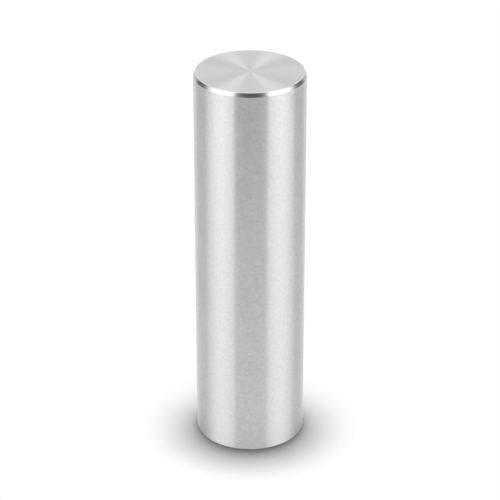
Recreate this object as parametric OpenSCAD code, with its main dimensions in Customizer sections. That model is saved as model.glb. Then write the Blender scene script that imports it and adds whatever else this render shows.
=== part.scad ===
// Steel round bar
//
// A short length of solid round stock that stands on its lower end. The wall
// is one true cylinder, both ends are faced square to it, and the edge of the
// upper end carries a steep chamfer. The lower edge is only broken.
//
// Millimetres. +Z runs up the bar's axis, and the origin is the middle of the
// lower face, so the bar stands on the plane Z = 0.

/* [Bar] */
// Diameter over the wall
bar_d = 25; // [8:0.5:80]
// Length over both faces
bar_len = 90; // [20:1:400]

/* [Upper edge] */
// Width of the chamfer, measured inward across the upper face
head_chamfer_w = 0.4; // [0.1:0.1:3]
// Length of the chamfer, measured down the wall
head_chamfer_len = 0.9; // [0.1:0.1:6]

/* [Lower edge] */
// Width of the broken edge, measured inward across the lower face
foot_break_w = 0.1; // [0.1:0.1:3]
// Length of the broken edge, measured up the wall
foot_break_len = 0.1; // [0.1:0.1:6]

/* [Hidden] */
$fn = 180;

bright_steel = [0.79, 0.79, 0.80];

bar_r = bar_d / 2;

// The lower edge: the face ends where the break starts
foot_face_r = bar_r - foot_break_w;
wall_bottom_z = foot_break_len;

// The upper edge: the wall ends where the chamfer starts
wall_top_z = bar_len - head_chamfer_len;
head_face_r = bar_r - head_chamfer_w;

// Half of the bar's lengthwise section, from the axis out to the wall,
// with the bar's axis along Y
module bar_section() {
    polygon([
        [0, 0],
        [foot_face_r, 0],
        [bar_r, wall_bottom_z],
        [bar_r, wall_top_z],
        [head_face_r, bar_len],
        [0, bar_len],
    ]);
}

// The whole bar, turned as one solid
module round_bar() {
    color(bright_steel)
        rotate_extrude()
            bar_section();
}

round_bar();
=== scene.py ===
import math

import bmesh
import bpy
from mathutils import Matrix, Vector


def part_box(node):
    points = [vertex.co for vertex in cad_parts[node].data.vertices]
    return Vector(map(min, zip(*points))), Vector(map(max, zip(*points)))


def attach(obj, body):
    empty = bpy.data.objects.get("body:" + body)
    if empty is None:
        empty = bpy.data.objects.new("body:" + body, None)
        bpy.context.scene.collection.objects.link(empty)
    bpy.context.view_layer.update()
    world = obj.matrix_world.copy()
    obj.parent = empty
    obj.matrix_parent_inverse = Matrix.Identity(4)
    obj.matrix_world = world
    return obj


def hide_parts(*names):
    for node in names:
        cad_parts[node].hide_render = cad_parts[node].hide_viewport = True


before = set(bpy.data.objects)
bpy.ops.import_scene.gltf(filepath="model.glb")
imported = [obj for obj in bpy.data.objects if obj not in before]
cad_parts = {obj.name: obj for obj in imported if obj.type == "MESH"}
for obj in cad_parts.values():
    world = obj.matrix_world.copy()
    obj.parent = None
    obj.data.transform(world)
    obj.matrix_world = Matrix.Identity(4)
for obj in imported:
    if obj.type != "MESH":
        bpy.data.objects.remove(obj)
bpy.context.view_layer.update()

# ----------------------------------------------------------------------------
# The bar
# One solid piece of bright steel bar. Its wall is ground round, and both ends are faced
# square on a lathe. A keen tool cuts the steep chamfer round the upper edge, and the
# lower edge is only broken, so that it doesn't cut the hand.
# ----------------------------------------------------------------------------

MM = 0.001
bar_low, bar_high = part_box("round_bar")
bar_r = (bar_high.x - bar_low.x) / 2
bar_len = bar_high.z - bar_low.z
section_len = 2 * bar_r + bar_len  # from the foot's middle, up the wall, to the head's middle
chamfer_w = 0.4 * MM
chamfer_len = 0.9 * MM
foot_break = 0.1 * MM
rim_polish_and_glint_reach = 0.24 * MM  # how far the rim's polish and its painted highlight spread over the end

# No tool leaves a corner quite sharp: how far each rounding reaches along its two sides
foot_round = 0.03 * MM
shoulder_round = 0.05 * MM
rim_round = 0.07 * MM

corner_steps = 6
turn_steps = 256
same_point = 0.001 * MM  # points closer than this are one

# The surfaces, in the order of the mesh's material slots
WALL, EDGE, RIM, END = range(4)


def half_section():
    """The outline from the middle of the foot to the middle of the head, with its corners rounded."""
    outline = [
        (Vector((0, 0, 0)), 0),
        (Vector((bar_r - foot_break, 0, 0)), foot_round),
        (Vector((bar_r, 0, foot_break)), foot_round),
        (Vector((bar_r, 0, bar_len - chamfer_len)), shoulder_round),
        (Vector((bar_r - chamfer_w, 0, bar_len)), rim_round),
        (Vector((0, 0, bar_len)), 0),
    ]
    # A point a little past each rounding keeps its shading off the straight faces
    past = 1.3
    shape = bmesh.new()
    corners = []
    last = shape.verts.new(outline[0][0])
    for (start, start_round), (end, end_round) in zip(outline, outline[1:]):
        way = (end - start).normalized()
        stops = []
        if start_round:
            stops.append(start + way * past * start_round)
        if end == outline[-1][0]:
            # The polished rim, with its painted highlight, ends here, and the faced end begins
            stops.append(start + way * rim_polish_and_glint_reach)
        if end_round:
            stops.append(end - way * past * end_round)
        stops.append(end)
        for stop in stops:
            point = shape.verts.new(stop)
            shape.edges.new((last, point))
            last = point
        corners.append((point, end_round))
    for point, reach in corners[:-1]:
        bmesh.ops.bevel(
            shape,
            geom=[point],
            affect="VERTICES",
            offset=reach,
            segments=corner_steps,
            profile=0.5,
            material=-1,
        )
    return shape


def turned_bar():
    """Turns the outline once round the bar's axis."""
    shape = half_section()
    bmesh.ops.spin(
        shape,
        geom=shape.verts[:] + shape.edges[:],
        cent=(0, 0, 0),
        axis=(0, 0, 1),
        angle=math.tau,
        steps=turn_steps,
        use_merge=True,
    )
    bmesh.ops.remove_doubles(shape, verts=shape.verts, dist=same_point)
    bmesh.ops.recalc_face_normals(shape, faces=shape.faces)
    return shape


def sort_surfaces(shape):
    """Gives each face the slot of the surface that it belongs to, by how far the face looks up or down."""
    upright = 0.01
    rounded = 0.5  # above this, a slanted face is the rim's rounding and not the chamfer
    level = 0.99
    for face in shape.faces:
        face.smooth = True
        looks_up = face.normal.z
        if abs(looks_up) < upright:
            face.material_index = WALL
        elif abs(looks_up) > level:
            across = face.calc_center_median().xy.length
            # The flat ring next to the chamfer gets the rim's polish and its painted highlight
            polished = looks_up > 0 and across > bar_r - chamfer_w - rim_polish_and_glint_reach
            face.material_index = RIM if polished else END
        elif looks_up > rounded:
            face.material_index = RIM
        else:
            face.material_index = EDGE


def unroll(shape):
    """Lays the surface out flat, with the way round the bar across the map and the section's length up it."""
    layer = shape.loops.layers.uv.new("OFBake")  # the flat map that the whole surface is unrolled on
    for face in shape.faces:
        middle = face.calc_center_median()
        facing = math.atan2(middle.y, middle.x)
        for loop in face.loops:
            spot = loop.vert.co
            radius = math.hypot(spot.x, spot.y)
            turn = 0.0
            if radius > same_point:
                turn = math.remainder(math.atan2(spot.y, spot.x) - facing, math.tau)
            if spot.z < bar_len / 2:
                along = radius + spot.z
            else:
                along = section_len - radius - (bar_len - spot.z)
            loop[layer].uv = ((facing + turn) / math.tau + 0.5, along / section_len)


shape = turned_bar()
sort_surfaces(shape)
unroll(shape)
bar_mesh = bpy.data.meshes.new("steel_round_bar")
shape.to_mesh(bar_mesh)
shape.free()
bar = bpy.data.objects.new("steel_round_bar", bar_mesh)
bpy.context.scene.collection.objects.link(bar)


def linear(code):
    """Turns an sRGB hex colour into linear light."""
    parts = [int(code[i : i + 2], 16) / 255 for i in (1, 3, 5)]
    return tuple(c / 12.92 if c <= 0.04045 else ((c + 0.055) / 1.055) ** 2.4 for c in parts) + (1.0,)


def new_material(name):
    """An empty node material and its node tree."""
    material = bpy.data.materials.new(name)
    material.use_nodes = True
    material.node_tree.nodes.clear()
    return material, material.node_tree


def add(tree, kind, inputs, **settings):
    """Adds one node. An input is a plain value, or the socket that it is linked from."""
    node = tree.nodes.new("ShaderNode" + kind)
    for name, value in settings.items():
        setattr(node, name, value)
    for name, value in inputs.items():
        if isinstance(value, bpy.types.NodeSocket):
            tree.links.new(value, node.inputs[name])
        else:
            node.inputs[name].default_value = value
    return node


def bare_steel(tree, tone, roughness, relief, drawn_out):
    """Bare steel. As far as `drawn_out` says, it draws each light out across the lines round the bar."""
    quarter_turn = 0.25
    steel = add(
        tree,
        "BsdfPrincipled",
        {
            "Base Color": tone,
            "Metallic": 1.0,
            "Roughness": roughness,
            "Anisotropic": drawn_out,
            "Anisotropic Rotation": quarter_turn,
            "Normal": relief,
            "Tangent": add(tree, "Tangent", {}, direction_type="RADIAL", axis="Z").outputs[0],
        },
    )
    add(tree, "OutputMaterial", {"Surface": steel.outputs[0]})


def tool_rings(tree, gap):
    """The height of the rings that a turning tool leaves, by the distance along the bar's section."""
    unrolled = add(tree, "UVMap", {}, uv_map="OFBake").outputs["UV"]
    along = add(tree, "SeparateXYZ", {"Vector": unrolled}).outputs["Y"]
    count = add(tree, "Math", {0: along, 1: section_len / gap}, operation="MULTIPLY").outputs[0]
    rings = add(tree, "TexNoise", {"W": count, "Scale": 1.0, "Detail": 2.0}, noise_dimensions="1D")
    return rings.outputs["Fac"]


def ground_wall():
    """Ground steel: the wheel leaves fine lines round the bar, so each light is drawn out along it."""
    material, tree = new_material("ground_steel_wall")
    place = add(tree, "TexCoord", {}).outputs["Object"]
    # Real grinding lines are about 0.02 mm apart. These are coarser, so that they show.
    line_gap = 0.5 * MM
    line_length = 0.8 * MM
    line_depth = 0.011 * MM
    fit = (1 / line_length, 1 / line_length, 1 / line_gap)
    stretched = add(tree, "VectorMath", {0: place, 1: fit}, operation="MULTIPLY").outputs[0]
    lines = add(tree, "TexNoise", {"Vector": stretched, "Scale": 1.0, "Detail": 3.0}).outputs["Fac"]
    tone = add(tree, "MixRGB", {"Fac": lines, "Color1": linear("#CECECE"), "Color2": linear("#E6E6E6")})
    # The smoother lines are also the brighter ones, and the wheel presses unevenly, in faint clouds
    cloud_size = 8 * MM
    clouds = add(tree, "TexNoise", {"Vector": place, "Scale": 1 / cloud_size, "Detail": 2.0}).outputs["Fac"]
    line_share = 2.0
    polish = add(tree, "Math", {0: lines, 1: line_share, 2: clouds}, operation="MULTIPLY_ADD").outputs[0]
    coarsest = 0.47
    finest = 0.284
    span = {"Value": polish, "From Max": line_share + 1, "To Min": coarsest, "To Max": finest}
    roughness = add(tree, "MapRange", span).outputs[0]
    relief = add(tree, "Bump", {"Distance": line_depth, "Height": lines}).outputs[0]
    bare_steel(tree, tone.outputs[0], roughness, relief, drawn_out=1.0)
    return material


def bright_edge():
    """Bright-turned steel: a keen tool at a fine feed leaves the chamfer almost a mirror."""
    material, tree = new_material("bright_turned_edge")
    # Real rings are about 0.05 mm apart here, too fine to show
    ring_gap = 0.25 * MM
    ring_depth = 0.006 * MM
    finest = 0.255
    coarsest = 0.295
    rings = tool_rings(tree, ring_gap)
    tone = add(tree, "MixRGB", {"Fac": rings, "Color1": linear("#CBCBCB"), "Color2": linear("#D3D3D3")})
    roughness = add(tree, "MapRange", {"Value": rings, "To Min": finest, "To Max": coarsest}).outputs[0]
    relief = add(tree, "Bump", {"Distance": ring_depth, "Height": rings}).outputs[0]
    bare_steel(tree, tone.outputs[0], roughness, relief, drawn_out=0.0)
    return material


def polished_rim_painted_glint():
    """Steel polished by wear and wiping: the rim between chamfer and end catches a thin bright line, which
    its lighter tone, a painted highlight, makes brighter.
    """
    material, tree = new_material("polished_rim_painted_glint")
    # What the polish leaves of the tool's rings, drawn as coarse as the chamfer's
    ring_gap = 0.25 * MM
    ring_depth = 0.001 * MM
    smooth = 0.2
    rings = tool_rings(tree, ring_gap)
    # Painted highlight: this tone is lighter than the chamfer's and the end's, for the rim's bright line
    tone = add(tree, "MixRGB", {"Fac": rings, "Color1": linear("#DCDCDC"), "Color2": linear("#E6E6E6")})
    relief = add(tree, "Bump", {"Distance": ring_depth, "Height": rings}).outputs[0]
    bare_steel(tree, tone.outputs[0], smooth, relief, drawn_out=0.0)
    return material


def faced_end():
    """Faced steel: the tool leaves fine rings round the middle, so each light fans out from it."""
    material, tree = new_material("faced_steel_end")
    # Real rings are about 0.08 mm apart, too fine to show
    ring_gap = 0.4 * MM
    ring_depth = 0.006 * MM
    finest = 0.35
    coarsest = 0.41
    rings = tool_rings(tree, ring_gap)
    tone = add(tree, "MixRGB", {"Fac": rings, "Color1": linear("#D4D4D4"), "Color2": linear("#E0E0E0")})
    roughness = add(tree, "MapRange", {"Value": rings, "To Min": finest, "To Max": coarsest}).outputs[0]
    relief = add(tree, "Bump", {"Distance": ring_depth, "Height": rings}).outputs[0]
    bare_steel(tree, tone.outputs[0], roughness, relief, drawn_out=0.96)
    return material


for finish in (ground_wall(), bright_edge(), polished_rim_painted_glint(), faced_end()):
    bar_mesh.materials.append(finish)

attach(bar, "root")
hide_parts("round_bar")

# ----------------------------------------------------------------------------
# The table
# A wide top of matt white laminate, on which the bar stands on its foot. It is
# bright enough to look white all over, apart from the soft shade at the foot.
# ----------------------------------------------------------------------------

table_half = 3.0


def panel(name, place, material):
    """A flat rectangle, two metres each way before it is placed, that belongs to the studio."""
    shape = bmesh.new()
    shape.loops.layers.uv.new("across")
    bmesh.ops.create_grid(shape, x_segments=1, y_segments=1, size=1, matrix=place, calc_uvs=True)
    mesh = bpy.data.meshes.new(name)
    shape.to_mesh(mesh)
    shape.free()
    mesh.materials.append(material)
    piece = bpy.data.objects.new(name, mesh)
    bpy.context.scene.collection.objects.link(piece)
    return piece


def white_laminate():
    """Matt white laminate, which is seen as plain white, with a soft shade close round the foot."""
    material, tree = new_material("white_laminate")
    # Little light gets in beside the foot. The shade leans to the front, as under a light from the back.
    lean = math.radians(21)
    reach = 13.7 * MM
    towards = add(tree, "CombineXYZ", {"Y": math.sin(lean), "Z": math.cos(lean)}).outputs[0]
    openness = add(tree, "AmbientOcclusion", {"Distance": reach, "Normal": towards}).outputs["AO"]
    # The shade is deepest where the table is this closed in, and ends where it is this open
    closed_in = 0.442
    wide_open = 0.984
    span = {"Value": openness, "From Min": closed_in, "From Max": wide_open}
    openness = add(tree, "MapRange", span).outputs[0]
    fall_power = 0.711
    shade = add(tree, "Math", {0: openness, 1: fall_power}, operation="POWER").outputs[0]
    # A little light reaches even the line where the bar stands
    darkest = 0.14
    shade = add(tree, "Math", {0: shade, 1: darkest}, operation="MAXIMUM").outputs[0]
    # The eye sees the shade as it is. The steel mirrors this share of it, which is least in front of the bar.
    share_in_front = 0.25
    share_beside = 0.9
    front_line = -10 * MM  # it is the share in front up to here
    side_line = -2 * MM  # and the share beside from here on, to the back
    place = add(tree, "TexCoord", {}).outputs["Object"]
    depth = add(tree, "SeparateXYZ", {"Vector": place}).outputs["Y"]
    span = {
        "Value": depth,
        "From Min": front_line,
        "From Max": side_line,
        "To Min": share_in_front,
        "To Max": share_beside,
    }
    mirrored = add(tree, "MapRange", span).outputs[0]
    rays = add(tree, "LightPath", {}).outputs
    span = {"Value": rays["Is Camera Ray"], "To Min": mirrored, "To Max": 1.0}
    strength = add(tree, "MapRange", span).outputs[0]
    lost = add(tree, "Math", {0: shade, 1: 1.0}, operation="SUBTRACT").outputs[0]
    level = add(tree, "Math", {0: strength, 1: lost, 2: 1.0}, operation="MULTIPLY_ADD").outputs[0]
    white = add(tree, "Emission", {"Color": (1, 1, 1, 1), "Strength": level}).outputs[0]
    matt = add(tree, "BsdfDiffuse", {"Color": linear("#F1F1F1")}).outputs[0]
    seen = add(tree, "Math", {0: rays["Is Camera Ray"], 1: rays["Is Glossy Ray"]}, operation="ADD").outputs[0]
    seen = add(tree, "Math", {0: seen, 1: rays["Is Transmission Ray"]}, operation="ADD").outputs[0]
    both = add(tree, "MixShader", {0: seen, 1: matt, 2: white}).outputs[0]
    add(tree, "OutputMaterial", {"Surface": both})
    # The white is only for what sees the table, so it lights nothing
    material.cycles.emission_sampling = "NONE"
    return material


panel("table", Matrix.Diagonal((table_half, table_half, 1, 1)), white_laminate())

# ----------------------------------------------------------------------------
# The light
# A white tent round the table, with a softbox and a strip light on each side and a wide
# softbox overhead. Black and grey cards give the steel something dark to mirror. Each
# stands clear of the bar, and the camera sees none of them.
# ----------------------------------------------------------------------------

# How far the front card and the lights are turned to the camera's right, in degrees
turn_right = 1.8
card_foot = 15 * MM  # clear of the table, so that no card shades it


def unseen(name, place, material):
    """A panel that the steel mirrors and the camera doesn't see."""
    piece = panel(name, place, material)
    piece.visible_camera = False
    return piece


def standing(azimuth, distance, half_width, low, high):
    """The place of an upright panel that faces the bar. Azimuth 0 is the camera's side, and 90 its right."""
    place = Matrix.Rotation(math.radians(azimuth), 4, "Z")
    place = place @ Matrix.Translation((0, -distance, (low + high) / 2))
    place = place @ Matrix.Rotation(math.radians(90), 4, "X")
    return place @ Matrix.Diagonal((half_width, (high - low) / 2, 1, 1))


def matt_board(name, colour):
    """Plain foam board. Even the black one returns a little light."""
    material, tree = new_material(name)
    matt = add(tree, "BsdfDiffuse", {"Color": linear(colour)}).outputs[0]
    add(tree, "OutputMaterial", {"Surface": matt})
    return material


def lit_cloth(name, middle, side):
    """White cloth lit from behind. Its level is `middle` in the middle, and `side` at the left and right."""
    material, tree = new_material(name)
    place = add(tree, "UVMap", {}, uv_map="across").outputs["UV"]
    across = add(tree, "SeparateXYZ", {"Vector": place}).outputs["X"]
    # 0 at the middle and 1 at either side
    off = add(tree, "Math", {0: across, 1: 2.0, 2: -1.0}, operation="MULTIPLY_ADD").outputs[0]
    off = add(tree, "Math", {0: off}, operation="ABSOLUTE").outputs[0]
    fall_power = 1.81
    bend = add(tree, "Math", {0: off, 1: fall_power}, operation="POWER").outputs[0]
    level = add(tree, "Math", {0: bend, 1: side - middle, 2: middle}, operation="MULTIPLY_ADD").outputs[0]
    glow = add(tree, "Emission", {"Color": (1, 1, 1, 1), "Strength": level}).outputs[0]
    add(tree, "OutputMaterial", {"Surface": glow})
    return material


black = matt_board("black_foam_board", "#595959")
front = standing(azimuth=turn_right, distance=0.18, half_width=0.116, low=0.08, high=0.373)
unseen("front_card", front, black)

box_turn = 64.2
strip_turn = 36.5
side_cloth = lit_cloth("side_softbox_cloth", middle=2.09, side=0)
strip_cloth = lit_cloth("strip_light_cloth", middle=3, side=3)
for side, name, card_turn in ((-1, "left", -112.4), (1, "right", 114.2)):
    softbox = standing(
        azimuth=turn_right + side * box_turn, distance=0.7, half_width=0.545, low=card_foot, high=1.86
    )
    unseen(f"{name}_softbox", softbox, side_cloth)
    # The strip shines close beside the front card, so the card's dark mark on the steel has a sharp edge
    strip = standing(
        azimuth=turn_right + side * strip_turn, distance=0.6, half_width=0.0535, low=0.22, high=0.373
    )
    unseen(f"{name}_strip", strip, strip_cloth)
    card = standing(azimuth=card_turn, distance=0.5, half_width=0.154, low=card_foot, high=0.257)
    unseen(f"{name}_card", card, black)

top_half = 0.62
top_height = 1.15
top_level = 1.26
overhead = Matrix.Translation((0, 0, top_height)) @ Matrix.Diagonal((top_half, top_half, 1, 1))
unseen("top_softbox", overhead, lit_cloth("top_softbox_cloth", middle=top_level, side=top_level))

# A grey board behind the bar, which the far sides of the steel mirror
behind = standing(azimuth=180, distance=0.45, half_width=0.4, low=card_foot, high=0.106)
unseen("back_board", behind, matt_board("grey_foam_board", "#888888"))

# A black cloth lies on the table behind the camera, only for the steel to mirror
cloth_start = 0.63
cloth_length = 3.0
cloth_half_width = 2.9
cloth_height = 0.5 * MM
cloth_middle = -(cloth_start + cloth_length / 2)
flat = Matrix.Translation((0, cloth_middle, cloth_height))
flat = flat @ Matrix.Diagonal((cloth_half_width, cloth_length / 2, 1, 1))
cloth = unseen("black_cloth", flat, black)
cloth.visible_diffuse = False
cloth.visible_shadow = False

tent_level = 0.936
world = bpy.data.worlds.new("white_tent")
world.use_nodes = True
world.node_tree.nodes.clear()
tent = add(world.node_tree, "Background", {"Color": (1, 1, 1, 1), "Strength": tent_level}).outputs[0]
add(world.node_tree, "OutputWorld", {"Surface": tent})
bpy.context.scene.world = world

# ----------------------------------------------------------------------------
# The camera
# A long lens on a stand, which looks down on the bar from the front, so that it
# shows both the head and the whole wall.
# ----------------------------------------------------------------------------

camera_distance = 513.9 * MM
camera_rise = math.radians(27.44)
aim = Vector((0, 0, 45.8 * MM))
lens = bpy.data.cameras.new("camera")
lens.sensor_width = 36  # this and the next are in millimetres
lens.lens = 162.0
camera = bpy.data.objects.new("camera", lens)
bpy.context.scene.collection.objects.link(camera)
back = Vector((0, -math.cos(camera_rise), math.sin(camera_rise)))
camera.location = aim + back * camera_distance
camera.rotation_euler = back.to_track_quat("Z", "Y").to_euler()
bpy.context.scene.camera = camera
bpy.context.scene.view_settings.view_transform = "Standard"
